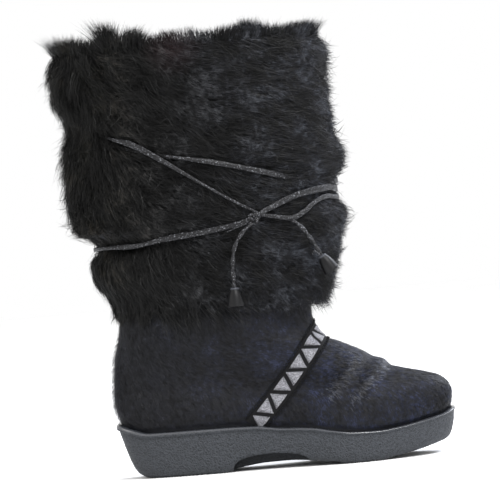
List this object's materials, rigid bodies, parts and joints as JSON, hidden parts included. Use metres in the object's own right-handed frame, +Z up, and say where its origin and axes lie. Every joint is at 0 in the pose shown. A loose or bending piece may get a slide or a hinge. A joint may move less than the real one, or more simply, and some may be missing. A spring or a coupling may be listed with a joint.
{
  "type": "long-haired fur winter boot",
  "caption": "Mid-calf winter boot with a long-haired fur shaft wound with a flat leather lace, a short-haired foot, a braid over the instep and a moulded rubber cup sole.",
  "frame": {"origin": "on the floor under the middle of the boot, midway between the fur behind the calf and the toe", "axes": "+Z up, +X toward the toe, -Y toward the outer side that the picture shows"},
  "size_m": [0.3052, 0.1473, 0.353],
  "materials": {
    "sole_rubber": "fine pebbled matte with a smooth bright lip",
    "footbed": "felt",
    "short_hair_hide": "short lying hair with a bluish sheen",
    "long_fur": "long black hair in locks",
    "braid": "silver-grey woven triangles on black",
    "lace_leather": "grainy, half gloss",
    "toggle_moulding": "dark, with a paler top rim"
  },
  "bodies": {
    "root": {"outsole": "sole_rubber", "insole": "footbed", "upper": "short_hair_hide", "fur_shaft": "long_fur", "braid_band": "braid", "lace_wraps": "lace_leather", "lace_knot": "lace_leather", "lace_end_rear": "lace_leather", "lace_end_front": "lace_leather", "toggle_rear": "toggle_moulding", "toggle_front": "toggle_moulding"}
  },
  "joints": []
}
